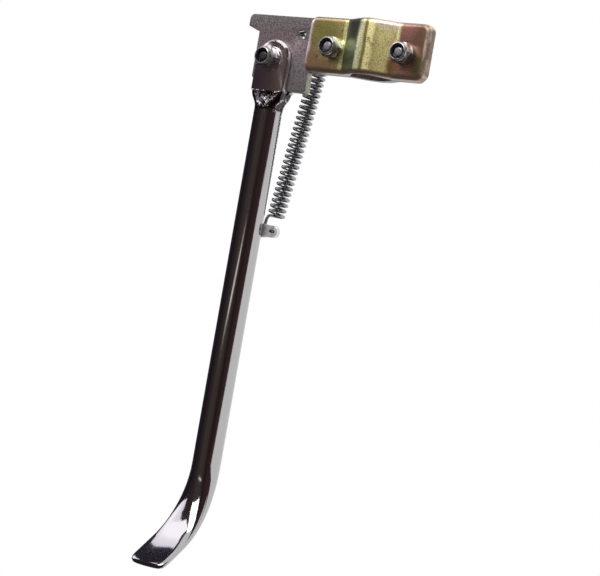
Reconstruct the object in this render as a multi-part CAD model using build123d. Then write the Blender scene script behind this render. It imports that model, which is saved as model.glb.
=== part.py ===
from build123d import *
import math
import os

# A clamp-on bicycle side stand, in millimetres.
# The origin lies on the axis of the frame tube that the clamp grips, half way up the clamp.
# +Z runs up along that tube, +X away from the pivot, and the outer side of the bike is at -Y.
# The leg is modelled stowed, parallel to the tube.

# Clamp
tube_radius = 9.0          # frame tube that the jaws grip
jaw_left = 38.4            # left end of the clamp plate, from the tube's axis
jaw_right = 32.8           # right end of the clamp plate
jaw_height = 28.4          # along Z
joint_line = 1.6           # how far behind the tube's axis the two jaws meet
front_slope = 30.0         # degrees, flanks of the clamp plate's hump
rear_slope = 36.0          # degrees, flanks of the rear jaw's hump
rear_short = 3.4           # rear jaw's end, short of the clamp plate's right end
bend_radius = 1.2          # where the flat of a jaw turns into a flank

# Clamp plate, a dished stamping
sheet = 2.2                # its wall
dish_depth = 5.9           # from its front face to its rim
dish_corner = 4.2          # corners seen from the front
dish_edge = 2.6            # rounding of the front edge
mouth_slope = 52.0         # degrees, how the rim opens for the tube

# Bracket plate
plate_thickness = 4.5
plate_top = 13.95          # top edge above the tube's middle
plate_corner = 4.0
pivot_reach = 59.8         # pivot to tube axis, along X
pivot_drop = 9.25          # pivot below the middle of the clamp
plate_left = 12.7          # left edge from the pivot
plate_foot = 15.6          # bottom edge below the pivot, the stop for the stowed leg
foot_right = 20.8          # right end of the bottom edge
foot_chamfer = 1.2
tab_reach = 19.9           # stop tab, left of the pivot
tab_root = 14.2            # underside of the tab at the plate, above the pivot
tab_tip = 16.8             # underside of the tab at its tip
tab_corner = 2.6           # its upper corner
tab_tip_corner = 1.0

# Leg, a pressed and bent tube
leg_radius = 7.4
ear_radius = 10.4
ear_thickness = 2.4
ear_gap = 0.6              # between an ear and the plate
ear_edge = 1.2             # bevel round the ears
boss_radius = 6.4          # raised seat round the pivot on the front ear
boss_height = 1.4
boss_edge = 0.5
fork_depth = 15.9          # pivot to the bottom of the slot
throat_radius = 1.3        # groove along the bottom of the slot
shoulder = 0.7             # solid height below the slot where the ears end
neck_length = 9.0          # from the ears to the round tube
neck_inset = 0.3           # step in below each ear
dimple_radius = 3.2        # crimp mark pressed into the front of the neck
dimple_depth = 0.8
dimple_drop = 2.6          # its middle below the ears
straight_end = 211.0       # pivot to the start of the toe's bend
toe_radius = 50.0
toe_angle = 55.0           # degrees
toe_length = 19.0          # straight part after the bend
toe_half_width = 10.8
toe_half_thickness = 2.3
toe_dish = 1.1             # hollow pressed into the toe's upper face
toe_steps = 12             # sections along the bend
toe_tip = 1.5              # last stretch, where the edge is rounded over
toe_round = 5.0            # last stretch, where the corners are rounded off
toe_corner = 2.4           # width that each corner loses
swing = 104.0              # degrees from stowed to standing

# Spring lug on the leg
lug_drop = 87.3            # its hole below the pivot
lug_reach = 10.8           # its hole to the right of the leg's middle
lug_back = 8.0             # its middle plane behind the leg's middle
lug_thickness = 3.0
lug_half_height = 3.1
lug_flare = 1.2            # extra half height at the tube
lug_hole = 1.35

# Return spring
wire_radius = 0.85
coil_radius = 3.9          # to the middle of the wire
coil_turns = 28
coil_pitch = 2.96
coil_lean = 7.85           # degrees off vertical
coil_back = 15.8           # coil axis behind the leg's middle
hook_reach = 20.0          # pivot to the hole that the upper hook sits in
hook_run = 10.9            # upper hook's hole to the first turn
hook_hole = 2.4
wire_bend = 2.2
wire_sides = 6
coil_runs = 12             # straight runs in a turn
bend_runs = 3              # straight runs in a bend
hook_tail = 2.2

# M6 hardware
bolt_radius = 2.95
thread_gap = 0.05          # between a bolt and what it runs or screws in
clearance_gap = 0.35       # between a bolt and the plates it clamps
across_flats = 10.0
head_height = 4.0
nut_height = 6.4
nut_hex_height = 4.2
nut_collar_radius = 4.65
insert_radius = 4.15
insert_height = 1.4
insert_gap = 0.03
lip_radius = 3.85
lip_height = 0.5
hex_chamfer = 0.7
bolt_recess = 1.1          # bolt end inside the nut's end
bolt_chamfer = 1.0
washer_radius = 5.5
washer_thickness = 1.6
seat_gap = 0.1             # between a clamp bolt's washer and the hump
bolt_drop = 1.85           # clamp bolts below the middle of the clamp

# Places that follow from the sizes above
plate_front = joint_line
plate_back = plate_front + plate_thickness
plate_middle = plate_front + plate_thickness / 2
dish_front = joint_line - dish_depth
slot_half = plate_thickness / 2 + ear_gap
ear_face = slot_half + ear_thickness
pivot = Vector(-pivot_reach, plate_middle, -pivot_drop)
far = 3 * (jaw_left + jaw_right + pivot_reach)
lug_angle = math.degrees(math.atan2(lug_reach, lug_drop))
# the spring is as long with the leg stowed as with the leg standing
hook_angle = swing / 2 - lug_angle
hook = Vector(math.sin(math.radians(hook_angle)), 0, math.cos(math.radians(hook_angle))) * hook_reach

FRONT = -1
BACK = 1
os.makedirs("parts", exist_ok=True)


def write(shape, name):
    """Writes one piece under its own name."""
    export_step(shape, f"parts/{name}.step")


def at_pivot(shape):
    """Moves a shape drawn about the pivot to its place."""
    return Pos(pivot.X, pivot.Y, pivot.Z) * shape


def jaw_line(radius, flat, slope, side, left, right):
    """A jaw's line seen from above: flat, flank, round crest, flank, flat.

    flat is how far the flats lie from the tube's axis, counted towards side.
    Returns the edges from left to right, and the half width of the hump.
    """
    s = math.sin(math.radians(slope))
    c = math.cos(math.radians(slope))
    base = radius * s + (radius * c - flat) / s * c
    edges = [
        Line((left, side * flat), (-base, side * flat)),
        Line((-base, side * flat), (-radius * s, side * radius * c)),
        ThreePointArc((-radius * s, side * radius * c), (0, side * radius), (radius * s, side * radius * c)),
        Line((radius * s, side * radius * c), (base, side * flat)),
        Line((base, side * flat), (right, side * flat)),
    ]
    return edges, base


def band(first, second):
    """The face between two jaw lines, with its bends rounded."""
    a = first[0].edge() @ 0
    b = second[0].edge() @ 0
    c = first[-1].edge() @ 1
    d = second[-1].edge() @ 1
    face = make_face([*first, *second, Line(a, b), Line(c, d)])
    inside = [v for v in face.vertices() if a.X + 1 < v.X < c.X - 1]
    bends = [v for v in inside if min(abs(v.Y - a.Y), abs(v.Y - b.Y)) < 0.01]
    return fillet(bends, bend_radius)


def clamp_plate():
    outer, _ = jaw_line(tube_radius + sheet, -dish_front, front_slope, FRONT, -jaw_left, jaw_right)
    corners = [
        (-jaw_left, dish_front),
        (-jaw_left, joint_line),
        (jaw_right, joint_line),
        (jaw_right, dish_front),
    ]
    block_face = make_face([*outer, Polyline(*corners)])
    inside = [v for v in block_face.vertices() if 1 - jaw_left < v.X < jaw_right - 1]
    bends = [v for v in inside if abs(v.Y - dish_front) < 0.01]
    block = extrude(fillet(bends, bend_radius), jaw_height / 2, both=True)
    block = fillet(block.edges().filter_by(Axis.Y), dish_corner)
    front_edges = [e for e in block.edges() if e.bounding_box().max.Y < joint_line - 0.01]
    front_edges = [e for e in front_edges if not is_across(e)]
    block = fillet(front_edges, dish_edge)
    inner_left = sheet - jaw_left
    inner_right = jaw_right - sheet
    inner, _ = jaw_line(tube_radius, -dish_front - sheet, front_slope, FRONT, inner_left, inner_right)
    inner_corners = [
        (inner_left, dish_front + sheet),
        (inner_left, joint_line),
        (inner_right, joint_line),
        (inner_right, dish_front + sheet),
    ]
    hollow = extrude(make_face([*inner, Polyline(*inner_corners)]), jaw_height / 2 - sheet, both=True)
    hollow = fillet(hollow.edges().filter_by(Axis.Y), dish_corner - sheet)
    mouth, base = jaw_line(tube_radius, -joint_line, mouth_slope, FRONT, -jaw_left, jaw_right)
    opening = make_face([*mouth[1:4], Line((-base, joint_line), (base, joint_line))])
    plate = block - hollow - extrude(opening, jaw_height, both=True)
    return plate - clamp_holes()


def is_across(edge):
    """True for the short bend lines that run up the plate."""
    box = edge.bounding_box()
    return box.size.Z > jaw_height / 2 and dish_corner - jaw_left < box.center().X < jaw_right - dish_corner


def clamp_bolt_places():
    """Left and right clamp bolts: name and place, as near to the hump as their washers can sit."""
    _, hump = jaw_line(tube_radius + sheet, -dish_front, front_slope, FRONT, -jaw_left, jaw_right)
    bend = bend_radius * math.tan(math.radians(front_slope / 2))
    reach = hump + bend + seat_gap + washer_radius
    return (("left", -reach), ("right", reach))


def clamp_holes():
    """Both clamp bolt holes, as one cutter."""
    holes = [
        Pos(x, 0, -bolt_drop) * Rot(90, 0, 0) * Cylinder(bolt_radius + clearance_gap, far)
        for _, x in clamp_bolt_places()
    ]
    return Part() + holes


def plate_outline():
    """The bracket plate seen from the front, about the pivot."""
    top = plate_top + pivot_drop
    jaw_start = pivot_reach - jaw_left
    jaw_end = pivot_reach + jaw_right - rear_short
    jaw_bottom = pivot_drop - jaw_height / 2
    arc_start = math.sqrt(plate_foot**2 - plate_left**2)
    bisector = math.radians(225)
    arc_middle = (plate_foot * math.cos(bisector), plate_foot * math.sin(bisector))
    edges = [
        Polyline(
            (-plate_left, -arc_start),
            (-plate_left, tab_root),
            (-tab_reach, tab_tip),
            (-tab_reach, top),
            (jaw_end, top),
            (jaw_end, jaw_bottom),
            (jaw_start, jaw_bottom),
            (foot_right + foot_chamfer, -plate_foot + foot_chamfer),
            (foot_right, -plate_foot),
            (0, -plate_foot),
        ),
        ThreePointArc((0, -plate_foot), arc_middle, (-plate_left, -arc_start)),
    ]
    face = make_face(edges)
    rounded = [
        (jaw_end, top, plate_corner),
        (jaw_end, jaw_bottom, plate_corner),
        (-tab_reach, top, tab_corner),
        (-tab_reach, tab_tip, tab_tip_corner),
    ]
    for x, z, radius in rounded:
        face = fillet([v for v in face.vertices() if v.distance_to(Vertex(x, z, 0)) < 0.01], radius)
    return face


def bracket_plate():
    left = -pivot_reach - tab_reach - plate_corner
    right = jaw_right + plate_corner
    front, _ = jaw_line(tube_radius, plate_front, rear_slope, BACK, left, right)
    back, _ = jaw_line(tube_radius + plate_thickness, plate_back, rear_slope, BACK, left, right)
    formed = extrude(band(front, back), far, both=True)
    view = Plane(origin=(-pivot_reach, 0, -pivot_drop), x_dir=(1, 0, 0), z_dir=(0, -1, 0))
    outline = extrude(view * plate_outline(), far, both=True)
    plate = formed & outline
    holes = Pos(-pivot_reach, 0, -pivot_drop) * Rot(90, 0, 0) * Cylinder(bolt_radius + thread_gap, far)
    eye = Pos(pivot.X + hook.X, 0, pivot.Z + hook.Z) * Rot(90, 0, 0) * Cylinder(hook_hole, far)
    return plate - holes - eye - clamp_holes()


def oval(half_width, half_depth, squareness, dish=0.0):
    """A closed smooth section, a circle at squareness 2 and boxier above it, hollowed on its +Y side."""
    if squareness == 2:
        return Circle(half_width)
    points = []
    for step in range(24):
        angle = 2 * math.pi * step / 24
        c = math.cos(angle)
        s = math.sin(angle)
        x = math.copysign(abs(c) ** (2 / squareness), c)
        y = math.copysign(abs(s) ** (2 / squareness), s)
        hollow = dish * (1 - x * x) if s > 0 else 0.0
        points.append((half_width * x, half_depth * y - hollow))
    return make_face(Spline(*points, periodic=True))


def leg():
    fork_end = fork_depth + shoulder
    tube_top = fork_end + neck_length
    ears = Plane.XZ * (Circle(ear_radius) + Pos(0, -fork_end / 2) * Rectangle(2 * ear_radius, fork_end))
    fork = extrude(ears, ear_face, both=True)
    rims = [e for e in fork.edges() if abs(abs(e.center().Y) - ear_face) < 0.01]
    fork = chamfer([e for e in rims if e.center().Z > 0.1 - fork_end], ear_edge)
    neck_sections = [
        Pos(0, 0, -fork_end - neck_length * share) * neck_section(share)
        for share in (0, 0.2, 0.4, 0.6, 0.8, 1)
    ]
    neck = loft(neck_sections, ruled=True)
    tube = extrude(Pos(0, 0, -straight_end) * Circle(leg_radius), straight_end - tube_top)
    toe = loft(toe_sections(), ruled=True)
    boss = Cylinder(boss_radius, boss_height, align=(Align.CENTER, Align.CENTER, Align.MIN))
    boss = chamfer(boss.edges().sort_by(Axis.Z)[-1], boss_edge)
    seat = Plane(origin=(0, -ear_face, 0), x_dir=(1, 0, 0), z_dir=(0, -1, 0)) * boss
    body = fork + neck + tube + toe + seat
    slot = Box(3 * ear_radius, 2 * slot_half, 2 * fork_depth)
    throat = Pos(0, 0, -fork_depth) * Rot(0, 90, 0) * Cylinder(throat_radius, 3 * ear_radius)
    bore = Rot(90, 0, 0) * Cylinder(bolt_radius + thread_gap, far)
    dimple_back = ear_face + (leg_radius - ear_face) * dimple_drop / neck_length
    dimple_middle = dimple_back + dimple_radius - dimple_depth
    dimple = Pos(0, -dimple_middle, -fork_end - dimple_drop) * Sphere(dimple_radius)
    return body - slot - throat - bore - dimple


def ease(share):
    """A smooth step from 0 to 1."""
    return share * share * (3 - 2 * share)


def neck_section(share):
    """A section of the neck, from the ears' outline at 0 to the round tube at 1."""
    left = 1 - ease(share)
    half_width = leg_radius + (ear_radius - neck_inset - leg_radius) * left
    half_depth = leg_radius + (ear_face - neck_inset / 2 - leg_radius) * left
    return oval(half_width, half_depth, 2 + 4 * left * left)


def toe_sections():
    """Sections of the toe from the round tube to the flat end, along its bend towards the front."""
    bend_length = toe_radius * math.radians(toe_angle)
    stations = [(step / toe_steps, 0.0) for step in range(toe_steps + 1)]
    tip_start = toe_length - toe_tip
    round_start = toe_length - toe_round
    stations += [(1.0, past) for past in (round_start / 2, round_start, (round_start + tip_start) / 2)]
    stations += [(1.0, past) for past in (tip_start, toe_length - toe_tip / 3, toe_length)]
    sections = []
    for share, past in stations:
        turn = math.radians(toe_angle) * share
        along = Vector(0, -math.sin(turn), -math.cos(turn))
        bend = Vector(0, -toe_radius * (1 - math.cos(turn)), -straight_end - toe_radius * math.sin(turn))
        place = Plane(origin=bend + along * past, x_dir=(1, 0, 0), z_dir=along)
        gone = (bend_length * share + past) / (bend_length + toe_length)
        flat = ease(min(1.0, gone / 0.85))
        left = max(0.0, (past - tip_start) / (toe_length - tip_start))
        tip = (toe_half_thickness - 0.4) * (1 - math.sqrt(1 - left * left))
        turned = max(0.0, (past - round_start) / (toe_length - round_start))
        corner = toe_corner * (1 - math.sqrt(1 - turned * turned))
        half_width = leg_radius + (toe_half_width - leg_radius) * flat - tip - corner
        half_depth = leg_radius + (toe_half_thickness - leg_radius) * flat - tip
        dish = toe_dish * max(0.0, 2 * flat - 1) * (1 - left)
        sections.append(place * oval(half_width, half_depth, 2 + 0.9 * flat, dish))
    return sections


def spring_lug():
    """A tab welded to the back of the leg, with a hole for the spring's lower hook."""
    wide = lug_half_height + lug_flare
    outline = make_face([
        Polyline(
            (lug_reach, lug_half_height),
            (leg_radius, lug_half_height),
            (0, wide),
            (0, -wide),
            (leg_radius, -lug_half_height),
            (lug_reach, -lug_half_height),
        ),
        ThreePointArc(
            (lug_reach, -lug_half_height),
            (lug_reach + lug_half_height, 0),
            (lug_reach, lug_half_height),
        ),
    ])
    view = Plane(origin=(0, lug_back, -lug_drop), x_dir=(1, 0, 0), z_dir=(0, -1, 0))
    tab = extrude(view * outline, lug_thickness / 2, both=True)
    hole = Pos(lug_reach, lug_back, -lug_drop) * Rot(90, 0, 0) * Cylinder(lug_hole, 3 * lug_thickness)
    tube = Pos(0, 0, -lug_drop) * Cylinder(leg_radius, 10 * lug_half_height)
    return tab - hole - tube


def bend_to(start, direction, new_direction):
    """Points of a bend that turns the wire from one direction to another, after its start."""
    full = math.radians(direction.get_angle(new_direction))
    across = (new_direction - direction * direction.dot(new_direction)).normalized()
    points = []
    for step in range(1, bend_runs + 1):
        turn = full * step / bend_runs
        along = direction * (wire_bend * math.sin(turn))
        points.append(start + along + across * (wire_bend * (1 - math.cos(turn))))
    return points


def return_spring():
    """The coil and both hooks as one wire of short straight runs, about the pivot."""
    lean = math.radians(coil_lean)
    down = Vector(-math.sin(lean), 0, -math.cos(lean))
    left = Vector(-math.cos(lean), 0, math.sin(lean))
    right = left * -1
    back = Vector(0, 1, 0)
    climb = math.atan2(coil_pitch, 2 * math.pi * coil_radius)
    around = back * -math.cos(climb) + down * math.sin(climb)
    top = hook + right * coil_radius + down * hook_run + back * coil_back
    coil = []
    for step in range(coil_turns * coil_runs + 1):
        turn = 2 * math.pi * step / coil_runs
        rim = left * (coil_radius * math.cos(turn)) - back * (coil_radius * math.sin(turn))
        coil.append(top + rim + down * (coil_pitch * step / coil_runs))

    # upper hook, worked back from the first turn to its end in front of the plate
    upper = bend_to(coil[0], around * -1, down * -1)
    upper.append(upper[-1] - down * ((upper[-1] - hook).dot(down) - wire_bend))
    upper += bend_to(upper[-1], down * -1, back * -1)
    upper.append(Vector(upper[-1].X, -plate_thickness / 2 - 2 * wire_radius, upper[-1].Z))
    tail = (right * 3 - down).normalized()
    upper += bend_to(upper[-1], back * -1, tail)
    upper.append(upper[-1] + tail * hook_tail)

    # lower hook, from the last turn round and forward through the lug
    eye = Vector(lug_reach, lug_back, -lug_drop)
    lower = bend_to(coil[-1], around, down)
    lower.append(lower[-1] + down * ((eye - lower[-1]).dot(down) - wire_bend))
    lower += bend_to(lower[-1], down, right)
    lower.append(lower[-1] + right * ((eye - lower[-1]).dot(right) - wire_bend))
    lower += bend_to(lower[-1], right, back * -1)
    lower.append(lower[-1] - back * (lower[-1].Y - lug_back + lug_thickness))

    path = Polyline(*reversed(upper), *coil, *lower)
    section = Plane(origin=path @ 0, z_dir=path % 0) * RegularPolygon(wire_radius, wire_sides)
    return sweep(section, path, transition=Transition.RIGHT)


def hexagon(height):
    """A hexagon prism along Z with its corners turned off at the top."""
    prism = extrude(RegularPolygon(across_flats / 2, 6, major_radius=False), height)
    corner = across_flats / math.sqrt(3)
    turned = Cylinder(corner, height, align=(Align.CENTER, Align.CENTER, Align.MIN))
    turned = chamfer(turned.edges().sort_by(Axis.Z)[-1], hex_chamfer / 2, hex_chamfer)
    return prism & turned


def lock_nut():
    """A lock nut from its seat at Z = 0, with a crimped collar round its locking ring."""
    base = (Align.CENTER, Align.CENTER, Align.MIN)
    collar = Cylinder(nut_collar_radius, nut_height, align=base)
    collar = chamfer(collar.edges().sort_by(Axis.Z)[-1], lip_height)
    ring_seat = nut_height - lip_height - insert_height
    thread = Cylinder(bolt_radius + thread_gap, 3 * nut_height)
    pocket = Pos(0, 0, ring_seat) * Cylinder(insert_radius + insert_gap, insert_height, align=base)
    mouth = Pos(0, 0, ring_seat) * Cylinder(lip_radius, nut_height, align=base)
    return hexagon(nut_hex_height) + collar - thread - pocket - mouth


def nut_insert():
    """The locking ring in a nut's collar."""
    base = (Align.CENTER, Align.CENTER, Align.MIN)
    ring = Cylinder(insert_radius, insert_height, align=base)
    bore = Cylinder(bolt_radius + thread_gap, 3 * nut_height)
    return Pos(0, 0, nut_height - lip_height - insert_height) * (ring - bore)


def washer():
    """A flat washer from its seat at Z = 0."""
    base = (Align.CENTER, Align.CENTER, Align.MIN)
    return Cylinder(washer_radius, washer_thickness, align=base) - Cylinder(bolt_radius + clearance_gap, far)


def bolt(grip):
    """A hexagon bolt: head below Z = 0, shank up to its end inside the nut."""
    length = grip + nut_height - bolt_recess
    shank = Cylinder(bolt_radius, length, align=(Align.CENTER, Align.CENTER, Align.MIN))
    shank = chamfer(shank.edges().sort_by(Axis.Z)[-1], bolt_chamfer)
    return shank + Rot(180, 0, 0) * hexagon(head_height)


def fasten(x, z, front, back, name, side):
    """Writes one bolt with its washers, nut and locking ring, clamping from back to front."""

    def facing(y):
        return Plane(origin=(x, y, z), x_dir=(1, 0, 0), z_dir=(0, -1, 0))

    tail = f"_{side}" if side else ""
    nut_seat = facing(front - washer_thickness)
    head_seat = facing(back + washer_thickness)
    grip = back - front + 2 * washer_thickness
    write(head_seat * bolt(grip), f"{name}_bolt{tail}")
    write(nut_seat * lock_nut(), f"{name}_nut{tail}")
    write(nut_seat * nut_insert(), f"{name}_nut_insert{tail}")
    write(facing(front) * washer(), f"{name}_washer{tail}")
    write(facing(back + washer_thickness) * washer(), f"{name}_back_washer{tail}")


write(clamp_plate(), "clamp_plate")
write(bracket_plate(), "bracket_plate")
write(at_pivot(leg()), "leg")
write(at_pivot(spring_lug()), "spring_lug")
write(at_pivot(return_spring()), "return_spring")
fasten(pivot.X, pivot.Z, pivot.Y - ear_face - boss_height, pivot.Y + ear_face, "pivot", "")
for side, place in clamp_bolt_places():
    fasten(place, -bolt_drop, dish_front, plate_back, "clamp", side)
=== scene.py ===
import logging
import math
from dataclasses import dataclass, field
from enum import Enum

import bmesh
import bpy
from mathutils import Matrix, Vector


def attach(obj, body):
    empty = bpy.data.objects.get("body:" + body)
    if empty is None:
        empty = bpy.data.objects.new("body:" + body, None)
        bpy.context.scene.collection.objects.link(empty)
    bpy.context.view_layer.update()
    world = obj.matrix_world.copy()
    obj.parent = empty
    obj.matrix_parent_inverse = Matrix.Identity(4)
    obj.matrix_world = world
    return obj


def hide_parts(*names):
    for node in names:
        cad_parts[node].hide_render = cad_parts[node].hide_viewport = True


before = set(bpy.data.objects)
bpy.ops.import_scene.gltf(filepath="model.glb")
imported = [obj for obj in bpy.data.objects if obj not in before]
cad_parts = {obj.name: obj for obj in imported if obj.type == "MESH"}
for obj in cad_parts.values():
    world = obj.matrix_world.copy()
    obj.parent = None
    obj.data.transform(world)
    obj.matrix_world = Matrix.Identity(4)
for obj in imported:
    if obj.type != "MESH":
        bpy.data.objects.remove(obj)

log = logging.getLogger("kickstand")
MM = 0.001
WHITE = (1.0, 1.0, 1.0)
MOTTLE = "plating_mottle"
MERGE_DISTANCE = 0.002 * MM
FLAT_ANGLE = math.radians(0.3)
BEVEL_SEGMENTS = 3
Colour = tuple[float, float, float]
Range = tuple[float, float]
Stops = tuple[tuple[float, Colour], ...]
Socket = bpy.types.NodeSocket


class Slot(str, Enum):
    """The record's material slots."""

    CHROME = "chrome"
    GREY_ZINC = "grey_zinc"
    YELLOW_ZINC = "yellow_zinc"
    HARDWARE = "hardware_zinc"
    SPRING = "spring_steel"
    INSERT = "insert_plastic"


class Look(str, Enum):
    """The finishes; some share a slot."""

    CHROME = "chrome"
    LUG = "welded_lug"
    GREY_ZINC = "grey_zinc"
    YELLOW_ZINC = "yellow_zinc"
    CLAMP_NUT = "clamp_nut"
    PIVOT_NUT = "pivot_nut"
    BOLT = "bolt"
    # a darker zinc, painted shade on the pivot bolt sunk in its nut
    RECESS_SHADED = "recess_shaded_zinc"
    SPRING = "spring_steel"
    INSERT = "insert_plastic"


class Body(str, Enum):
    """The bodies that move apart."""

    BRACKET = "bracket"
    LEG = "leg"
    SPRING = "spring"


class Nodes:
    """A small builder for the nodes of one material or node group."""

    def __init__(self, tree: bpy.types.NodeTree) -> None:
        """Keeps the tree that nodes are added to."""
        self.tree = tree

    def add(self, kind: str, **settings: object) -> bpy.types.Node:
        """Adds a node.

        Args:
            kind: the node's type name, where a shader node's goes without its ShaderNode prefix.
            settings: attributes set on the node.

        Returns:
            The new node.
        """
        node = self.tree.nodes.new(kind if kind.startswith("Node") else "ShaderNode" + kind)
        for name, value in settings.items():
            setattr(node, name, value)
        return node

    def link(self, source: Socket, target: Socket) -> None:
        """Joins an output to an input."""
        self.tree.links.new(source, target)

    def feed(self, value: object, target: Socket) -> None:
        """Joins an output to an input, or sets the input to a plain value.

        Args:
            value: the output, or the plain value.
            target: the input.
        """
        if isinstance(value, Socket):
            self.link(value, target)
        else:
            target.default_value = value

    def split(self, kind: str) -> bpy.types.Node:
        """Splits a surface coordinate, such as Object or Normal.

        Args:
            kind: the coordinate's name.

        Returns:
            The node with the outputs X, Y and Z.
        """
        node = self.add("SeparateXYZ")
        self.link(self.add("TexCoord").outputs[kind], node.inputs[0])
        return node

    def noise(self, coords: Socket, scale: Socket | float, detail: float, rough: float = 0.55) -> Socket:
        """Adds a noise texture.

        Args:
            coords: the coordinates it reads.
            scale: cells to the metre, or an output that gives them.
            detail: octaves.
            rough: share of the finer octaves.

        Returns:
            The noise value's output.
        """
        node = self.add("TexNoise")
        node.inputs["Detail"].default_value = detail
        node.inputs["Roughness"].default_value = rough
        self.feed(scale, node.inputs["Scale"])
        self.link(coords, node.inputs["Vector"])
        return node.outputs["Fac"]

    def remap(
        self, value: Socket, low: float, high: float, to_low: float = 0.0, to_high: float = 1.0,
    ) -> Socket:
        """Maps a value smoothly from one range to another.

        Args:
            value: the value to map.
            low: start of its range.
            high: end of its range.
            to_low: result at low.
            to_high: result at high.

        Returns:
            The mapped value.
        """
        node = self.add("MapRange", interpolation_type="SMOOTHSTEP")
        for name, number in zip(("From Min", "From Max", "To Min", "To Max"), (low, high, to_low, to_high)):
            node.inputs[name].default_value = number
        self.link(value, node.inputs["Value"])
        return node.outputs["Result"]

    def math(self, operation: str, first: Socket, second: Socket | float) -> Socket:
        """Works out one value from two.

        Args:
            operation: what is done with them.
            first: the first value's output.
            second: a number, or an output that gives one.

        Returns:
            The result.
        """
        node = self.add("Math", operation=operation)
        self.link(first, node.inputs[0])
        self.feed(second, node.inputs[1])
        return node.outputs[0]

    def blend(self, mask: Socket, first: Socket | Colour, second: Socket | Colour) -> Socket:
        """Mixes two colours by a mask.

        Args:
            mask: 0 for the first colour, 1 for the second.
            first: a colour, or an output that gives one.
            second: the same.

        Returns:
            The mixed colour.
        """
        node = self.add("Mix", data_type="RGBA")
        self.link(mask, node.inputs["Factor"])
        for name, value in (("A", first), ("B", second)):
            socket = next(s for s in node.inputs if s.name == name and s.type == "RGBA")
            self.feed(value if isinstance(value, Socket) else (*value, 1.0), socket)
        return next(s for s in node.outputs if s.type == "RGBA")

    def ramp(self, value: Socket, stops: Stops) -> Socket:
        """Adds a colour ramp.

        Args:
            value: where on the ramp, from 0 to 1.
            stops: places and their colours, in order.

        Returns:
            The colour.
        """
        node = self.add("ValToRGB")
        band = node.color_ramp
        while len(band.elements) < len(stops):
            band.elements.new(0.5)
        for element, (place, colour) in zip(band.elements, stops):
            element.position = place
            element.color = (*colour, 1.0)
        self.link(value, node.inputs["Fac"])
        return node.outputs["Color"]

    def shown_white(self, shader: Socket, white: Socket) -> Socket:
        """Shows a white shader to the camera, to mirrors and through clear things, and another elsewhere.

        Args:
            shader: what lights the object.
            white: what is shown.

        Returns:
            The mixed shader.
        """
        path = self.add("LightPath")
        seen = self.math("MAXIMUM", path.outputs["Is Camera Ray"], path.outputs["Is Glossy Ray"])
        seen = self.math("MAXIMUM", seen, path.outputs["Is Transmission Ray"])
        node = self.add("MixShader")
        for source, target in zip((seen, shader, white), node.inputs):
            self.link(source, target)
        return node.outputs[0]


def new_group(
    name: str, inputs: dict[str, float], outputs: list[str],
) -> tuple[bpy.types.NodeTree, Nodes, bpy.types.Node, bpy.types.Node]:
    """Starts a shader node group with value inputs and outputs.

    Args:
        name: the group's name.
        inputs: names and default values of its inputs.
        outputs: names of its outputs.

    Returns:
        The group, its builder, its input node and its output node.
    """
    group = bpy.data.node_groups.new(name, "ShaderNodeTree")
    for label, value in inputs.items():
        group.interface.new_socket(label, in_out="INPUT", socket_type="NodeSocketFloat").default_value = value
    for label in outputs:
        group.interface.new_socket(label, in_out="OUTPUT", socket_type="NodeSocketFloat")
    nodes = Nodes(group)
    return group, nodes, nodes.add("NodeGroupInput"), nodes.add("NodeGroupOutput")


def plating_group() -> bpy.types.NodeTree:
    """Builds the mottle of a plated surface: cloudy patches, fine specks and rubbed spots.

    Returns:
        The node group, with the outputs Cloud, Speck and Rub.
    """
    finer_share = 0.5
    rub_ratio = 2.3  # how much finer the rubbed spots are than the clouds
    inputs = {"Cloud Scale": 90.0, "Speck Scale": 1400.0, "Speck Share": 0.6}
    group, nodes, given, out = new_group(MOTTLE, inputs, ["Cloud", "Speck", "Rub"])
    place = nodes.add("TexCoord").outputs["Object"]
    cloud_scale = given.outputs["Cloud Scale"]
    cloud = nodes.noise(place, cloud_scale, 3.0, finer_share)
    grain = nodes.noise(place, given.outputs["Speck Scale"], 1.0, finer_share)
    speck = nodes.math("SUBTRACT", grain, given.outputs["Speck Share"])
    rub = nodes.noise(place, nodes.math("MULTIPLY", cloud_scale, rub_ratio), 6.0, finer_share)
    for label, value, low, high in (
        ("Cloud", cloud, 0.32, 0.68),
        ("Speck", speck, 0.0, 0.08),
        ("Rub", rub, 0.52, 0.72),
    ):
        nodes.link(nodes.remap(value, low, high), out.inputs[label])
    return group


@dataclass(frozen=True)
class Finish:
    """A plain finish, with no pattern."""

    look: Look
    slot: Slot
    colour: Colour
    roughness: float
    metallic: float = 1.0
    specular: float = 0.5

    def shader(self) -> tuple[bpy.types.Material, Nodes, bpy.types.Node]:
        """Starts the material.

        Returns:
            The material, its builder and its surface shader.
        """
        material = bpy.data.materials.new(self.look.value)
        material.use_nodes = True
        nodes = Nodes(material.node_tree)
        shader = material.node_tree.nodes["Principled BSDF"]
        shader.inputs["Base Color"].default_value = (*self.colour, 1.0)
        shader.inputs["Roughness"].default_value = self.roughness
        shader.inputs["Metallic"].default_value = self.metallic
        shader.inputs["Specular IOR Level"].default_value = self.specular
        return material, nodes, shader

    def build(self) -> bpy.types.Material:
        """Makes the material."""
        return self.shader()[0]


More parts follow.
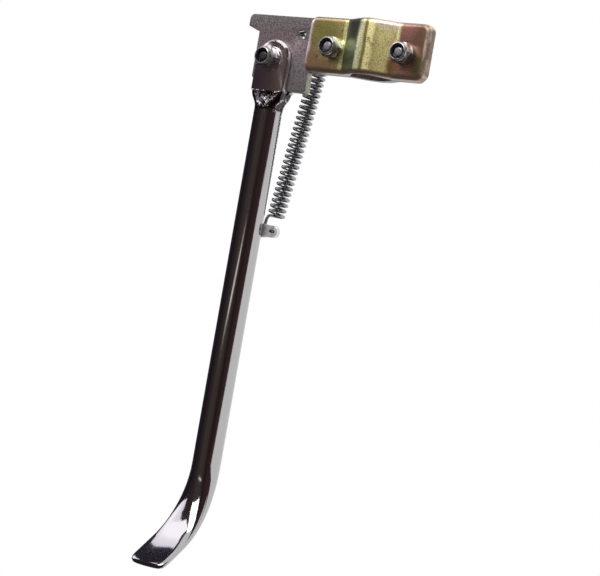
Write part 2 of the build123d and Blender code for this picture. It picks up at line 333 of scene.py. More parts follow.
@dataclass(frozen=True)
class ChromeFinish(Finish):
    """Bright plating: folded at the crimp, with painted shade in the creases; softer and slightly bulged on
    the fork, with a lighter colour there as painted light; rougher on its cut edges.

    Places and depths are in metres, in the part's own frame.
    """

    crimp_low: float = -0.0362
    crimp_high: float = -0.0252
    crimp_fade: float = 0.0012
    crimp_depth: float = 0.00035
    # colour of the painted shade in the crimp's creases
    crimp_shade_tone: Colour = (0.07, 0.06, 0.062)
    fold_scale: float = 420.0
    fold_tops: Range = (0.56, 0.62)  # noise values between which a fold's painted shade fades out, leaving its top bright
    fork_roughness: float = 0.14
    # a lighter colour on the fork, painted light on the same plating
    fork_lit_tone: Colour = (0.92, 0.86, 0.88)
    fork_middle: float = -0.0598
    fork_half: float = 0.0074
    fork_bulge: float = 1.1  # drop from its middle to fork_half beside it, in crimp depths
    edge_roughness: float = 0.45
    edge_turn: Range = (0.4, 0.7)  # squared sideways part of the normal, from face to cut edge

    def build(self) -> bpy.types.Material:
        """Makes the material.

        Returns:
            The material.
        """
        material, nodes, shader = self.shader()
        place = nodes.split("Object")
        height = place.outputs["Z"]
        fork_start = self.crimp_high - self.crimp_fade
        fork = nodes.remap(height, fork_start, self.crimp_high)
        above = nodes.remap(height, self.crimp_low, self.crimp_low + self.crimp_fade)
        below = nodes.remap(height, fork_start, self.crimp_high, 1.0, 0.0)
        crimped = nodes.math("MULTIPLY", above, below)
        folds = nodes.noise(nodes.add("TexCoord").outputs["Object"], self.fold_scale, 2.0)
        # painted shade over the crimp, left out where the folds top out
        crimp_shade_mask = nodes.math("MULTIPLY", crimped, nodes.remap(folds, *self.fold_tops, 1.0, 0.0))
        # the fork's lighter colour is painted light; the crimp's dark is painted shade
        tone = nodes.blend(crimp_shade_mask, nodes.blend(fork, self.colour, self.fork_lit_tone), self.crimp_shade_tone)
        nodes.link(tone, shader.inputs["Base Color"])
        bump = nodes.add("Bump")
        bump.inputs["Distance"].default_value = self.crimp_depth
        folded = nodes.math("MULTIPLY", crimped, folds)
        nodes.link(nodes.math("ADD", folded, self.bulge(nodes, place)), bump.inputs["Height"])
        nodes.link(bump.outputs["Normal"], shader.inputs["Normal"])
        nodes.link(self.gloss(nodes, fork), shader.inputs["Roughness"])
        return material

    def bulge(self, nodes: Nodes, place: bpy.types.Node) -> Socket:
        """Works out the fork's pressed bulge, which fades out over the crimp.

        Args:
            nodes: the material's builder.
            place: the split Object coordinates.

        Returns:
            The bulge's height.
        """
        across = nodes.math("SUBTRACT", place.outputs["X"], self.fork_middle)
        across = nodes.math("DIVIDE", across, self.fork_half)
        drop = nodes.math("MULTIPLY", nodes.math("MULTIPLY", across, across), -self.fork_bulge)
        pressed = nodes.remap(place.outputs["Z"], self.crimp_low, self.crimp_high)
        return nodes.math("MULTIPLY", pressed, drop)

    def gloss(self, nodes: Nodes, fork: Socket) -> Socket:
        """Works out the roughness of the tube, the fork and the fork's cut edges.

        Args:
            nodes: the material's builder.
            fork: 0 on the tube, 1 on the fork.

        Returns:
            The roughness.
        """
        facing = nodes.split("Normal").outputs["X"]
        sideways = nodes.math("MULTIPLY", facing, facing)
        edge = nodes.math("MULTIPLY", fork, nodes.remap(sideways, *self.edge_turn))
        soft = nodes.remap(fork, 0.0, 1.0, self.roughness, self.fork_roughness)
        cut = nodes.math("MULTIPLY", edge, self.edge_roughness - self.fork_roughness)
        return nodes.math("ADD", soft, cut)


@dataclass(frozen=True)
class PlatedFinish(Finish):
    """A plated finish with the shared mottle: cloudy colour, dark specks, rubbed spots."""

    cloud: Colour = (0.5, 0.5, 0.5)
    speck: Colour = (0.1, 0.1, 0.1)
    cloud_scale: float = 90.0
    speck_scale: float = 1400.0
    speck_share: float = 0.6
    speck_depth: float = 0.5
    rub_share: float = 0.72  # roughness of a rubbed spot, as a share of the rest
    bump: float = 0.0
    bump_distance: float = 0.02 * MM
    # a painted highlight on the foremost part of a nut's lip or a bolt's end
    lip_highlight: Colour = (0.9, 0.9, 0.92)
    lip_highlight_start: float = 0.0
    lip_highlight_depth: float = 0.0005

    def mottle(self, nodes: Nodes) -> bpy.types.Node:
        """Places the shared mottle group with this finish's values.

        Args:
            nodes: the material's builder.

        Returns:
            The group's node.
        """
        group = bpy.data.node_groups.get(MOTTLE) or plating_group()
        node = nodes.add("Group", node_tree=group)
        node.inputs["Cloud Scale"].default_value = self.cloud_scale
        node.inputs["Speck Scale"].default_value = self.speck_scale
        node.inputs["Speck Share"].default_value = self.speck_share
        return node

    def base(self, nodes: Nodes, mottle: bpy.types.Node) -> Socket:
        """Works out the colour before specks: two cloudy tones, and a painted highlight on the front lip
        where it has one.

        Args:
            nodes: the material's builder.
            mottle: the mottle group's node.

        Returns:
            The colour.
        """
        tint_and_painted_light = nodes.blend(mottle.outputs["Cloud"], self.colour, self.cloud)
        if self.lip_highlight_start:
            depth = nodes.split("Object").outputs["Y"]
            # painted highlight on the foremost part
            front = nodes.remap(depth, self.lip_highlight_start, self.lip_highlight_start + self.lip_highlight_depth, 1.0, 0.0)
            tint_and_painted_light = nodes.blend(front, tint_and_painted_light, self.lip_highlight)
        return tint_and_painted_light

    def build(self) -> bpy.types.Material:
        """Makes the material.

        Returns:
            The material.
        """
        material, nodes, shader = self.shader()
        mottle = self.mottle(nodes)
        depth = nodes.remap(mottle.outputs["Speck"], 0.0, 1.0, 0.0, self.speck_depth)
        nodes.link(nodes.blend(depth, self.base(nodes, mottle), self.speck), shader.inputs["Base Color"])
        rubbed = self.roughness * self.rub_share
        rough = nodes.remap(mottle.outputs["Rub"], 0.0, 1.0, self.roughness, rubbed)
        nodes.link(rough, shader.inputs["Roughness"])
        if self.bump:
            node = nodes.add("Bump")
            node.inputs["Strength"].default_value = self.bump
            node.inputs["Distance"].default_value = self.bump_distance
            nodes.link(mottle.outputs["Speck"], node.inputs["Height"])
            nodes.link(node.outputs["Normal"], shader.inputs["Normal"])
        return material


@dataclass(frozen=True)
class Patch:
    """A soft oval patch of another colour, placed along X and Z in millimetres; some patches are the plate's
    own colour and some are painted light and shade.
    """

    centre: Range
    reach: Range
    colour: Colour
    strength: float


@dataclass(frozen=True)
class BandedFinish(PlatedFinish):
    """Passivated zinc coloured in bands across the plate, with patches, edges and a side wall; on the clamp
    plate the bands, edges and some patches are painted highlights and painted shade beside the zinc's own
    colour.
    """

    axis: str = "X"
    span: Range = (-0.0384, 0.0328)
    stops: Stops = ()
    drift: float = 0.003
    patches: tuple[Patch, ...] = ()
    patch_core: float = 0.1  # squared share of the reach that has the patch's full strength
    edges: Stops = ()
    edge_width: float = 0.0016
    side: Colour | None = None
    side_turn: Range = (0.6, 0.9)  # part of the normal along X, from face to side wall

    def base(self, nodes: Nodes, mottle: bpy.types.Node) -> Socket:
        """Works out the colour by the place on the plate, own colour and painted light and shade alike, then
        its patches, its edges and its side wall.

        Args:
            nodes: the material's builder.
            mottle: the mottle group's node.

        Returns:
            The colour.
        """
        place = nodes.split("Object")
        share = nodes.add("MapRange")
        share.inputs["From Min"].default_value = self.span[0]
        share.inputs["From Max"].default_value = self.span[1]
        nodes.link(place.outputs[self.axis], share.inputs["Value"])
        shift = nodes.remap(mottle.outputs["Cloud"], 0.0, 1.0, -self.drift, self.drift)
        tint_and_painted_light = nodes.ramp(nodes.math("ADD", share.outputs["Result"], shift), self.stops)
        for patch in self.patches:
            squares = []
            for name, middle, size in zip(("X", "Z"), patch.centre, patch.reach):
                step = nodes.math("SUBTRACT", place.outputs[name], middle * MM)
                step = nodes.math("DIVIDE", step, size * MM)
                squares.append(nodes.math("MULTIPLY", step, step))
            away = nodes.math("ADD", *squares)
            mask = nodes.remap(away, self.patch_core, 1.0, patch.strength, 0.0)
            tint_and_painted_light = nodes.blend(mask, tint_and_painted_light, patch.colour)
        # edge bands paint highlights and shade along the rims beyond a height
        for height, colour in self.edges:
            past = height + math.copysign(self.edge_width, height)
            tint_and_painted_light = nodes.blend(nodes.remap(place.outputs["Z"], height, past), tint_and_painted_light, colour)
        if self.side:
            facing = nodes.split("Normal").outputs["X"]
            tint_and_painted_light = nodes.blend(nodes.remap(facing, *self.side_turn), tint_and_painted_light, self.side)
        return tint_and_painted_light


def front_of(node: str) -> float:
    """The foremost Y of a node's solid."""
    return min(vertex.co.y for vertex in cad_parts[node].data.vertices)


def bracket_finish() -> BandedFinish:
    """Describes the grey zinc of the bracket plate, with painted shade in and round the upper hook's hole.

    Returns:
        The finish.
    """
    return BandedFinish(
        Look.GREY_ZINC, Slot.GREY_ZINC, (0.3, 0.3, 0.3), 0.4, 0.75,
        speck=(0.09, 0.08, 0.09), speck_scale=1500.0, speck_share=0.5, speck_depth=0.6,
        cloud_scale=1300.0, bump=0.4, axis="Z", span=(-0.026, 0.0145), drift=0.14, side=(0.34, 0.35, 0.24),
        # painted shade, nearly black, in and round the upper hook's hole
        patches=(Patch((-45.7, 4.9), (3.4, 3.4), (0.01, 0.01, 0.01), 1.0),),
        stops=(
            (0.0, (0.26, 0.24, 0.23)), (0.25, (0.27, 0.24, 0.255)), (0.55, (0.32, 0.27, 0.285)),
            (0.78, (0.42, 0.3, 0.33)), (0.9, (0.21, 0.215, 0.19)), (1.0, (0.16, 0.168, 0.15)),
        ),
    )


def clamp_finish() -> BandedFinish:
    """Describes the yellow zinc of the clamp plate: its own colour, with painted highlights and painted shade
    at its bends and rims and a painted shadow of the right nut.

    Returns:
        The finish.
    """
    return BandedFinish(
        Look.YELLOW_ZINC, Slot.YELLOW_ZINC, (0.4, 0.36, 0.12), 0.34, 0.8,
        speck=(0.13, 0.1, 0.04), speck_scale=1450.0, speck_share=0.5, speck_depth=0.34,
        cloud_scale=110.0, bump=0.3,
        # the top edge is a painted highlight; the two bottom edges are painted shade
        edges=(
            (0.0124, (0.68, 0.56, 0.5)), (-0.0114, (0.3, 0.21, 0.16)), (-0.0138, (0.06, 0.045, 0.025)),
        ),
        # the first two patches are painted shade on the hump's left slope, darkest at its top; the fourth is
        # a painted highlight on top of the right slope; the sixth is the painted shadow of the right nut; the
        # rest are the zinc's own colour
        patches=(
            Patch((-8.5, 13.0), (7.5, 14.0), (0.012, 0.014, 0.008), 1.0),
            Patch((-9.7, -1.5), (6.5, 6.0), (0.4, 0.46, 0.25), 0.75),
            Patch((-28.0, 6.0), (11.0, 9.0), (0.36, 0.36, 0.09), 0.6),
            Patch((10.0, 14.5), (8.0, 7.0), (1.0, 0.84, 0.74), 0.8),
            Patch((-33.0, -11.0), (14.0, 9.0), (0.36, 0.21, 0.12), 0.75),
            Patch((14.8, -8.0), (3.4, 8.0), (0.26, 0.1, 0.035), 0.9),
            Patch((29.0, -7.0), (5.0, 8.0), (0.13, 0.12, 0.05), 0.7),
        ),
        # the flats and the right slope keep the zinc's own colour; the pale runs at both rims, at the bends
        # and on the crest are painted highlights, and the dark runs on the left slope and beside the crest
        # are painted shade
        stops=(
            (0.0, (1.0, 0.88, 0.82)), (0.03, (1.0, 0.86, 0.78)), (0.045, (0.42, 0.31, 0.18)),
            (0.12, (0.42, 0.33, 0.14)), (0.24, (0.54, 0.42, 0.18)), (0.3, (0.62, 0.49, 0.21)),
            (0.308, (1.0, 1.0, 0.42)), (0.33, (1.0, 1.0, 0.5)), (0.337, (0.15, 0.18, 0.09)),
            (0.47, (0.19, 0.22, 0.11)), (0.486, (0.94, 0.99, 0.59)), (0.53, (0.89, 0.87, 0.5)),
            (0.541, (0.35, 0.26, 0.08)), (0.556, (0.4, 0.28, 0.09)), (0.564, (1.0, 0.92, 0.45)),
            (0.598, (1.0, 0.9, 0.42)), (0.615, (0.73, 0.61, 0.26)), (0.65, (0.94, 0.85, 0.35)),
            (0.71, (0.95, 0.83, 0.37)), (0.735, (0.94, 0.73, 0.42)), (0.745, (1.0, 0.94, 0.5)),
            (0.764, (1.0, 0.85, 0.42)), (0.775, (0.5, 0.245, 0.2)), (0.86, (0.45, 0.215, 0.18)),
            (0.94, (0.26, 0.14, 0.09)), (0.972, (0.26, 0.17, 0.11)), (0.984, (1.0, 0.83, 0.66)),
            (0.993, (0.71, 0.54, 0.45)), (1.0, (0.2, 0.14, 0.12)),
        ),
    )


def hardware_finishes() -> list[Finish]:
    """Lists the zinc of the nuts, washers and bolts, with a painted highlight at their front ends, and darker
    copies as painted shade on the pivot's nut, washer and bolt.

    Returns:
        The finishes.
    """
    zinc = (0.44, 0.44, 0.445)
    mottle = dict(speck=(0.16, 0.15, 0.15), cloud_scale=300.0, speck_share=0.62)
    return [
        # each nut's front lip and each bolt's end carry a painted highlight
        PlatedFinish(
            Look.CLAMP_NUT, Slot.HARDWARE, zinc, 0.3,
            lip_highlight_start=front_of("clamp_nut_left"), **mottle,
        ),
        # a darker copy of the nut zinc: painted shade on the pivot nut and its washer
        PlatedFinish(
            Look.PIVOT_NUT, Slot.HARDWARE, (0.36, 0.36, 0.375), 0.3,
            lip_highlight_start=front_of("pivot_nut"), **mottle,
        ),
        PlatedFinish(
            Look.BOLT, Slot.HARDWARE, zinc, 0.3,
            lip_highlight=(0.94, 0.95, 1.0), lip_highlight_start=front_of("clamp_bolt_left"), lip_highlight_depth=0.0008, **mottle,
        ),
        # a darker copy still: painted shade on the pivot bolt, sunk in its nut
        PlatedFinish(Look.RECESS_SHADED, Slot.HARDWARE, (0.16, 0.158, 0.17), 0.32, cloud=(0.2, 0.2, 0.2), **mottle),
    ]


def finishes() -> dict[Look, Finish]:
    """Lists every finish.

    Returns:
        The finishes, by look.
    """
    sets: list[Finish] = [
        ChromeFinish(Look.CHROME, Slot.CHROME, (0.46, 0.45, 0.457), 0.08),
        Finish(Look.LUG, Slot.CHROME, (0.75, 0.74, 0.75), 0.4, 0.6),
        bracket_finish(),
        clamp_finish(),
        *hardware_finishes(),
        PlatedFinish(
            Look.SPRING, Slot.SPRING, (0.3, 0.3, 0.32), 0.24, 1.0,
            cloud=(0.4, 0.4, 0.41), speck=(0.18, 0.18, 0.18), cloud_scale=160.0, speck_share=0.62,
        ),
        Finish(Look.INSERT, Slot.INSERT, (0.008, 0.008, 0.009), 0.5, 0.0, 0.12),
    ]
    return {finish.look: finish for finish in sets}


@dataclass
class Wardrobe:
    """Every finish with its made material."""

    finishes: dict[Look, Finish]
    materials: dict[Look, bpy.types.Material]

    @classmethod
    def make(cls) -> "Wardrobe":
        """Makes the material of every finish."""
        sets = finishes()
        return cls(sets, {look: finish.build() for look, finish in sets.items()})

    def dress(self, obj: bpy.types.Object, body: Body, look: Look, node: str) -> bpy.types.Object:
        """Dresses a piece and lets it ride in place of its node.

        Args:
            obj: the piece.
            body: the body that it moves with.
            look: its finish.
            node: the node that it stands for.

        Returns:
            The piece.
        """
        obj.data.materials.clear()
        obj.data.materials.append(self.materials[look])
        for polygon in obj.data.polygons:
            polygon.material_index = 0
        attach(obj, body.value)
        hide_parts(node)
        log.info("%s: %d faces in %s", obj.name, len(obj.data.polygons), look.value)
        return obj


def add_object(name: str, data: bpy.types.ID) -> bpy.types.Object:
    """Puts a new object into the scene.

    Args:
        name: the object's name.
        data: its mesh, lamp or camera.

    Returns:
        The object.
    """
    obj = bpy.data.objects.new(name, data)
    bpy.context.scene.collection.objects.link(obj)
    return obj


def make_plain(obj: bpy.types.Object) -> None:
    """Turns what an object's modifiers make into its own plain mesh.

    Args:
        obj: the object, which loses its modifiers.
    """
    plain = bpy.data.meshes.new_from_object(obj.evaluated_get(bpy.context.evaluated_depsgraph_get()))
    obj.modifiers.clear()
    obj.data = plain


def solid_copy(node: str, piece: str, sharp: float, bevel: float) -> bpy.types.Object:
    """Copies a node's mesh as one closed, smoothly shaded piece with rounded edges.

    Args:
        node: the node's name.
        piece: the new piece's name.
        sharp: degrees from which an edge counts as sharp.
        bevel: width of the rounding on sharp edges, in metres.

    Returns:
        The piece, not yet riding on a body.
    """
    work = bmesh.new()
    work.from_mesh(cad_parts[node].data)
    bmesh.ops.remove_doubles(work, verts=work.verts, dist=MERGE_DISTANCE)
    bmesh.ops.dissolve_limit(work, angle_limit=FLAT_ANGLE, verts=work.verts, edges=work.edges)
    mesh = bpy.data.meshes.new(piece)
    work.to_mesh(mesh)
    work.free()
    mesh.materials.clear()
    obj = add_object(piece, mesh)
    rounding = obj.modifiers.new("edge", "BEVEL")
    rounding.width = bevel
    rounding.segments = BEVEL_SEGMENTS
    rounding.limit_method = "ANGLE"
    rounding.angle_limit = math.radians(sharp)
    make_plain(obj)
    obj.data.shade_smooth()
    obj.data.set_sharp_from_angle(angle=math.radians(sharp))
    return obj


@dataclass
class Leg:
    """The chromed leg and the lug welded to it."""

    tube_sharp: float = 34.0
    ear_rounding: float = 0.45 * MM
    lug_sharp: float = 32.0
    lug_rounding: float = 0.35 * MM

    def build(self, wardrobe: Wardrobe) -> None:
        """Makes and dresses the leg and the lug.

        Args:
            wardrobe: the finishes.
        """
        tube = solid_copy("leg", "leg_chrome", self.tube_sharp, self.ear_rounding)
        wardrobe.dress(tube, Body.LEG, Look.CHROME, "leg")
        lug = solid_copy("spring_lug", "lug_chrome", self.lug_sharp, self.lug_rounding)
        wardrobe.dress(lug, Body.LEG, Look.LUG, "spring_lug")


@dataclass
class Bracket:
    """The bracket plate and the clamp plate."""

    plate_sharp: float = 32.0
    plate_rounding: float = 0.5 * MM
    dish_sharp: float = 40.0
    dish_rounding: float = 0.25 * MM

    def build(self, wardrobe: Wardrobe) -> None:
        """Makes and dresses both plates.

        Args:
            wardrobe: the finishes.
        """
        plate = solid_copy("bracket_plate", "bracket_zinc", self.plate_sharp, self.plate_rounding)
        wardrobe.dress(plate, Body.BRACKET, Look.GREY_ZINC, "bracket_plate")
        dish = solid_copy("clamp_plate", "clamp_zinc", self.dish_sharp, self.dish_rounding)
        wardrobe.dress(dish, Body.BRACKET, Look.YELLOW_ZINC, "clamp_plate")


@dataclass
class Fasteners:
    """The three bolts with their nuts, locking rings and washers."""

    sharp: float = 25.0
    rounding: float = 0.18 * MM

    def looks(self, name: str) -> dict[str, Look]:
        """Picks the finish of each piece on a bolt.

        Args:
            name: pivot or clamp.

        Returns:
            The finishes, by the piece's kind.
        """
        pivot = name == "pivot"
        return {
            "bolt": Look.RECESS_SHADED if pivot else Look.BOLT,
            "nut": Look.PIVOT_NUT if pivot else Look.CLAMP_NUT,
            "nut_insert": Look.INSERT,
            "washer": Look.PIVOT_NUT if pivot else Look.CLAMP_NUT,
            "back_washer": Look.BOLT,
        }

    def build(self, wardrobe: Wardrobe) -> None:
        """Makes and dresses every fastener.

        Args:
            wardrobe: the finishes.
        """
        for name, tail, body in (
            ("pivot", "", Body.LEG),
            ("clamp", "_left", Body.BRACKET),
            ("clamp", "_right", Body.BRACKET),
        ):
            for kind, look in self.looks(name).items():
                node = f"{name}_{kind}{tail}"
                piece = solid_copy(node, f"{node}_zinc", self.sharp, self.rounding)
                wardrobe.dress(piece, body, look, node)


@dataclass
class Spring:
    """The return spring: a round wire along one path, made with Geometry Nodes.

    Its sizes are the part's own, in millimetres and degrees, and its places are about the pivot.
    """

    pivot: Vector = field(default_factory=lambda: Vector((-59.8, 3.85, -9.25)))
    hook_reach: float = 20.0
    swing: float = 104.0
    lug: Vector = field(default_factory=lambda: Vector((10.8, 8.0, -87.3)))
    lug_thickness: float = 3.0
    plate_thickness: float = 4.5
    wire: float = 0.85
    wire_sides: int = 14
    radius: float = 3.9
    turns: int = 28
    pitch: float = 2.96
    lean: float = 7.85
    back: float = 15.8
    hook_run: float = 10.9
    bend: float = 2.2
    tail: float = 2.2
    tail_slant: float = 3.0  # how far the upper hook's tail runs sideways for each step up
    turn_steps: int = 40
    bend_steps: int = 8

    def curve_to(self, start: Vector, way: Vector, new_way: Vector) -> list[Vector]:
        """Points of a bend from one direction to another.

        Args:
            start: where the bend begins.
            way: the direction there.
            new_way: the direction at its end.

        Returns:
            The points after the start.
        """
        full = way.angle(new_way)
        across = (new_way - way * way.dot(new_way)).normalized()
        turns = [full * k / self.bend_steps for k in range(1, self.bend_steps + 1)]
        return [start + way * self.bend * math.sin(t) + across * self.bend * (1 - math.cos(t)) for t in turns]

    def path(self) -> list[Vector]:
        """Works out the wire's middle line.

        Returns:
            Its points from the upper hook's end to the lower one's, in metres.
        """
        angle = math.radians(self.swing / 2) - math.atan2(self.lug.x, -self.lug.z)
        hook = Vector((math.sin(angle), 0.0, math.cos(angle))) * self.hook_reach
        lean = math.radians(self.lean)
        down = Vector((-math.sin(lean), 0.0, -math.cos(lean)))
        left = Vector((-math.cos(lean), 0.0, math.sin(lean)))
        back = Vector((0.0, 1.0, 0.0))
        climb = math.atan2(self.pitch, 2 * math.pi * self.radius)
        around = -back * math.cos(climb) + down * math.sin(climb)
        top = hook - left * self.radius + down * self.hook_run + back * self.back
        coil = []
        for step in range(self.turns * self.turn_steps + 1):
            turn = 2 * math.pi * step / self.turn_steps
            rim = left * self.radius * math.cos(turn) - back * self.radius * math.sin(turn)
            coil.append(top + rim + down * (self.pitch * step / self.turn_steps))

        # upper hook, worked back from the first turn to its end in front of the plate
        upper = self.curve_to(coil[0], -around, -down)
        upper.append(upper[-1] - down * ((upper[-1] - hook).dot(down) - self.bend))
        upper += self.curve_to(upper[-1], -down, -back)
        upper.append(Vector((upper[-1].x, -self.plate_thickness / 2 - 2 * self.wire, upper[-1].z)))
        tail = (-left * self.tail_slant - down).normalized()
        upper += self.curve_to(upper[-1], -back, tail)
        upper.append(upper[-1] + tail * self.tail)

        # lower hook, from the last turn round and forward through the lug
        lower = self.curve_to(coil[-1], around, down)
        lower.append(lower[-1] + down * ((self.lug - lower[-1]).dot(down) - self.bend))
        lower += self.curve_to(lower[-1], down, -left)
        lower.append(lower[-1] - left * ((self.lug - lower[-1]).dot(-left) - self.bend))
        lower += self.curve_to(lower[-1], -left, -back)
        lower.append(lower[-1] - back * (lower[-1].y - self.lug.y + self.lug_thickness))
        return [(point + self.pivot) * MM for point in [*reversed(upper), *coil, *lower]]

    def tree(self, material: bpy.types.Material) -> bpy.types.NodeTree:
        """Builds the wire tree.

        Args:
            material: the wire's finish.

        Returns:
            The tree, with the inputs Wire Radius and Sides.
        """
        tree = bpy.data.node_groups.new("round_wire", "GeometryNodeTree")
        tree.interface.new_socket("Geometry", in_out="INPUT", socket_type="NodeSocketGeometry")
        tree.interface.new_socket("Wire Radius", in_out="INPUT", socket_type="NodeSocketFloat")
        tree.interface.new_socket("Sides", in_out="INPUT", socket_type="NodeSocketInt")
        tree.interface.new_socket("Geometry", in_out="OUTPUT", socket_type="NodeSocketGeometry")
        given = tree.nodes.new("NodeGroupInput")
        out = tree.nodes.new("NodeGroupOutput")
        line = tree.nodes.new("GeometryNodeMeshToCurve")
        ring = tree.nodes.new("GeometryNodeCurvePrimitiveCircle")
        skin = tree.nodes.new("GeometryNodeCurveToMesh")
        smooth = tree.nodes.new("GeometryNodeSetShadeSmooth")
        real = tree.nodes.new("GeometryNodeRealizeInstances")
        paint = tree.nodes.new("GeometryNodeSetMaterial")
        skin.inputs["Fill Caps"].default_value = True
        paint.inputs["Material"].default_value = material
        for source, target in (
            (given.outputs["Geometry"], line.inputs["Mesh"]),
            (given.outputs["Wire Radius"], ring.inputs["Radius"]),
            (given.outputs["Sides"], ring.inputs["Resolution"]),
            (line.outputs["Curve"], skin.inputs["Curve"]),
            (ring.outputs["Curve"], skin.inputs["Profile Curve"]),
            (skin.outputs["Mesh"], smooth.inputs["Geometry"]),
            (smooth.outputs["Geometry"], real.inputs["Geometry"]),
            (real.outputs["Geometry"], paint.inputs["Geometry"]),
            (paint.outputs["Geometry"], out.inputs["Geometry"]),
        ):
            tree.links.new(source, target)
        return tree

    def build(self, wardrobe: Wardrobe) -> None:
        """Makes and dresses the spring.

        Args:
            wardrobe: the finishes.
        """
        points = self.path()
        mesh = bpy.data.meshes.new("spring_path")
        mesh.from_pydata(points, [(k, k + 1) for k in range(len(points) - 1)], [])
        obj = add_object("spring_wire", mesh)
        modifier = obj.modifiers.new("wire", "NODES")
        modifier.node_group = self.tree(wardrobe.materials[Look.SPRING])
        values = {"Wire Radius": self.wire * MM, "Sides": self.wire_sides}
        for item in modifier.node_group.interface.items_tree:
            if item.in_out == "INPUT" and item.name in values:
                modifier[item.identifier] = values[item.name]
        make_plain(obj)
        wardrobe.dress(obj, Body.SPRING, Look.SPRING, "return_spring")


def direction(azimuth: float, elevation: float) -> Vector:
    """The way from the object towards a place round it.

    Args:
        azimuth: degrees from the front, -Y, towards +X.
        elevation: degrees above the horizon.

    Returns:
        The unit vector.
    """
    a = math.radians(azimuth)
    e = math.radians(elevation)
    return Vector((math.sin(a) * math.cos(e), -math.cos(a) * math.cos(e), math.sin(e)))


@dataclass
class Studio:
    """The camera, the floor, the lamps, and the cards that only mirrors see.

    Lengths are in metres and angles in degrees.
    """

    azimuth: float = 33.5
    elevation: float = -1.03
    roll: float = 9.91
    distance: float = 1.0074
    lens: float = 119.78
    sensor: float = 36.0  # millimetres, as is the lens
    near_clip: float = 0.01
    target: Vector = field(default_factory=lambda: Vector((-21.68, 3.85, -123.12)) * MM)
    floor_height: float = -0.75
    floor_half: float = 6.0
    floor_tone: Colour = (0.85, 0.85, 0.85)
    floor_roughness: float = 0.9
    sky_strength: float = 0.55
    lamp_size: float = 1.0
    card_step: float = 4.0
    room_distance: float = 1.7
    daylight_distance: float = 1.65
    window_distance: float = 1.6
    streak_lean: float = 150.0  # degrees for each metre up

    def axes(self) -> tuple[Vector, Vector, Vector]:
        """Works out how the camera is turned.

        Returns:
            Its right, up and backward directions.
        """
        a = math.radians(self.azimuth)
        r = math.radians(self.roll)
        back = direction(self.azimuth, self.elevation)
        right = Vector((math.cos(a), math.sin(a), 0.0))
        up = back.cross(right)
        return right * math.cos(r) + up * math.sin(r), up * math.cos(r) - right * math.sin(r), back

    def camera(self) -> None:
        """Sets the camera at the photograph's place."""
        right, up, back = self.axes()
        data = bpy.data.cameras.new("camera")
        data.lens = self.lens
        data.sensor_width = self.sensor
        data.clip_start = self.near_clip
        obj = add_object("camera", data)
        turn = Matrix((right, up, back)).transposed().to_4x4()
        obj.matrix_world = Matrix.Translation(self.target + back * self.distance) @ turn
        bpy.context.scene.camera = obj

    def lamp(self, name: str, way: Vector, distance: float, energy: float, mirrored: bool) -> None:
        """Adds a square soft lamp that faces the object.

        Args:
            name: the lamp's name.
            way: the direction from the object to the lamp.
            distance: metres from the object.
            energy: watts.
            mirrored: whether glossy surfaces show it.
        """
        data = bpy.data.lights.new(name, "AREA")
        data.size = self.lamp_size
        data.energy = energy
        obj = add_object(name, data)
        obj.location = self.target + way * distance
        obj.rotation_mode = "QUATERNION"
        obj.rotation_quaternion = way.to_track_quat("Z", "Y")
        obj.visible_glossy = mirrored

    def glow(self, name: str) -> bpy.types.Material:
        """Makes a card's material, which shines in the tones of the card's points.

        Args:
            name: the card's name.

        Returns:
            The material.
        """
        material = bpy.data.materials.new(name)
        material.use_nodes = True
        nodes = Nodes(material.node_tree)
        light = nodes.add("Emission")
        nodes.link(nodes.add("Attribute", attribute_name="tone").outputs["Color"], light.inputs["Color"])
        nodes.link(light.outputs[0], material.node_tree.nodes["Material Output"].inputs["Surface"])
        return material

    def card(self, name: str, inner: Range, outer: Range, tones: Stops, lean: float = 0.0) -> None:
        """Adds a curved card round the object that only mirrors see.

        Args:
            name: the card's name.
            inner: distance and height of its lower or inner edge.
            outer: the same of its upper or outer edge.
            tones: colours along it, each at its azimuth, counted as for the camera.
            lean: degrees by which its outer edge is turned on.
        """
        points = []
        colours = []
        for (start, first), (end, last) in zip(tones, tones[1:]):
            steps = max(1, round((end - start) / self.card_step))
            for step in range(steps + 1):
                part = step / steps
                azimuth = start + (end - start) * part
                tone = [a + (b - a) * part for a, b in zip(first, last)]
                for (radius, height), turn in ((inner, 0.0), (outer, lean)):
                    angle = math.radians(azimuth + turn)
                    x = self.target.x + radius * math.sin(angle)
                    y = self.target.y - radius * math.cos(angle)
                    points.append((x, y, height))
                    colours.append((*tone, 1.0))
        mesh = bpy.data.meshes.new(name)
        mesh.from_pydata(points, [], [(k, k + 2, k + 3, k + 1) for k in range(0, len(points) - 2, 2)])
        layer = mesh.color_attributes.new("tone", "FLOAT_COLOR", "POINT")
        for item, colour in zip(layer.data, colours):
            item.color = colour
        mesh.materials.append(self.glow(name))
        obj = add_object(name, mesh)
        obj.visible_camera = False
        obj.visible_diffuse = False
        obj.visible_shadow = False

    def floor(self) -> None:
        """Adds the pale floor, white to the camera and to mirrors."""
        half = self.floor_half
        corners = ((-half, -half), (half, -half), (half, half), (-half, half))
        mesh = bpy.data.meshes.new("floor")
        mesh.from_pydata([(x, y, self.floor_height) for x, y in corners], [], [(0, 1, 2, 3)])
        material = bpy.data.materials.new("floor")
        material.use_nodes = True
        nodes = Nodes(material.node_tree)
        shader = material.node_tree.nodes["Principled BSDF"]
        shader.inputs["Base Color"].default_value = (*self.floor_tone, 1.0)
        shader.inputs["Roughness"].default_value = self.floor_roughness
        both = nodes.shown_white(shader.outputs[0], nodes.add("Emission").outputs[0])
        nodes.link(both, material.node_tree.nodes["Material Output"].inputs["Surface"])
        mesh.materials.append(material)
        add_object("floor", mesh)

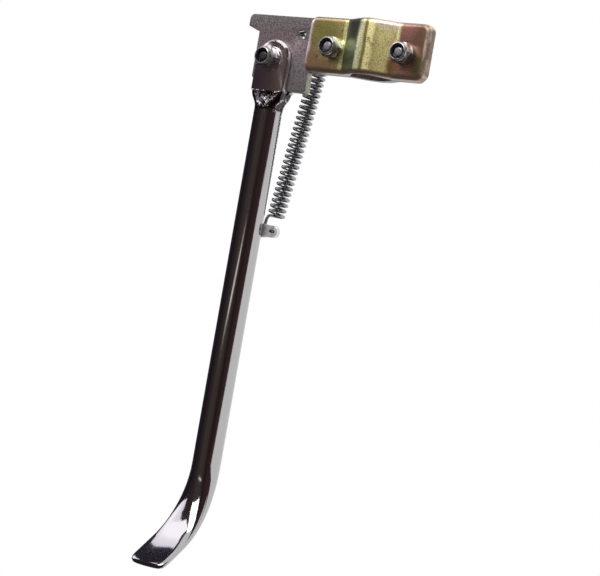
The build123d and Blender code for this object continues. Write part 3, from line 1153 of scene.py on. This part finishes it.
    def world(self) -> None:
        """Makes the background white to the camera and to mirrors, and a soft light otherwise."""
        world = bpy.data.worlds.new("studio")
        bpy.context.scene.world = world
        world.use_nodes = True
        nodes = Nodes(world.node_tree)
        world.node_tree.nodes.clear()
        soft = nodes.add("Background")
        white = nodes.add("Background")
        for node, strength in ((soft, self.sky_strength), (white, 1.0)):
            node.inputs["Color"].default_value = (*WHITE, 1.0)
            node.inputs["Strength"].default_value = strength
        both = nodes.shown_white(soft.outputs[0], white.outputs[0])
        nodes.link(both, nodes.add("OutputWorld").inputs["Surface"])

    def room(self) -> None:
        """Adds the dim room that the leg mirrors, with daylight below a slanted edge on its right."""
        tones = (
            (-140, (0.034, 0.03, 0.045)), (-105, (0.034, 0.03, 0.045)), (-73, (0.02, 0.012, 0.02)),
            (-36, (0.045, 0.033, 0.032)), (-14, (0.077, 0.059, 0.052)), (14, (0.068, 0.052, 0.048)),
            (33, (0.029, 0.017, 0.016)), (52, (0.051, 0.028, 0.028)), (99.5, (0.068, 0.034, 0.039)),
        )
        side = tones[-1][1]
        wall = self.room_distance
        self.card("room", (wall, -1.4), (wall, 2.9), tones)
        self.card("room_floor", (0.02, -0.6), (wall, -0.55), tones)
        near = self.daylight_distance
        self.card("room_side", (near, -0.1), (near, 0.25), ((73.5, side), (93.5, side)), 40.0)
        self.card("daylight", (near, -0.4), (near, -0.1), ((59.0, WHITE), (99.5, WHITE)), 34.5)
        self.card("daylight_foot", (near, -0.5), (near, -0.4), ((99.5, WHITE), (140.0, WHITE)), -40.5)

    def windows(self) -> None:
        """Adds the slanted streak of light on the leg and the bright panel that the toe mirrors."""
        near = self.window_distance
        for name, low, high, middle, half, tone in (
            ("streak_tail", -0.105, -0.075, -10.9, 5.0, (0.42, 0.4, 0.36)),
            ("streak", -0.075, 0.0, -6.4, 6.0, (1.1, 1.06, 0.97)),
            ("streak_tip", 0.0, 0.034, 4.85, 4.0, (1.4, 1.34, 1.3)),
        ):
            edges = ((middle - half, tone), (middle + half, tone))
            self.card(name, (near, low), (near, high), edges, self.streak_lean * (high - low))
        pane = (2.0, 1.95, 2.05)
        dim_pane = (1.4, 1.35, 1.5)
        self.card("window", (near, 1.05), (near, 2.15), ((-97, dim_pane), (-75, pane), (-37, pane)))
        self.card("window_foot", (near, 0.34), (near, 1.05), ((-97, dim_pane), (-75, pane), (-47, dim_pane)))

    def build(self) -> None:
        """Makes the whole studio."""
        bpy.context.scene.view_settings.view_transform = "Standard"
        self.world()
        self.floor()
        self.camera()
        key = direction(azimuth=self.azimuth - 35, elevation=45)
        self.lamp("key", key, distance=1.4, energy=14.0, mirrored=True)
        fill = direction(azimuth=self.azimuth + 70, elevation=25)
        self.lamp("fill", fill, distance=1.6, energy=7.0, mirrored=False)
        self.room()
        self.windows()


def main() -> None:
    """Builds every piece, then the studio."""
    logging.basicConfig(level=logging.INFO, format="%(name)s %(message)s")
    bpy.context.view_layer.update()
    wardrobe = Wardrobe.make()
    for assembly in (Leg(), Bracket(), Fasteners(), Spring()):
        assembly.build(wardrobe)
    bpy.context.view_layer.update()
    Studio().build()


if __name__ == "__main__":
    main()
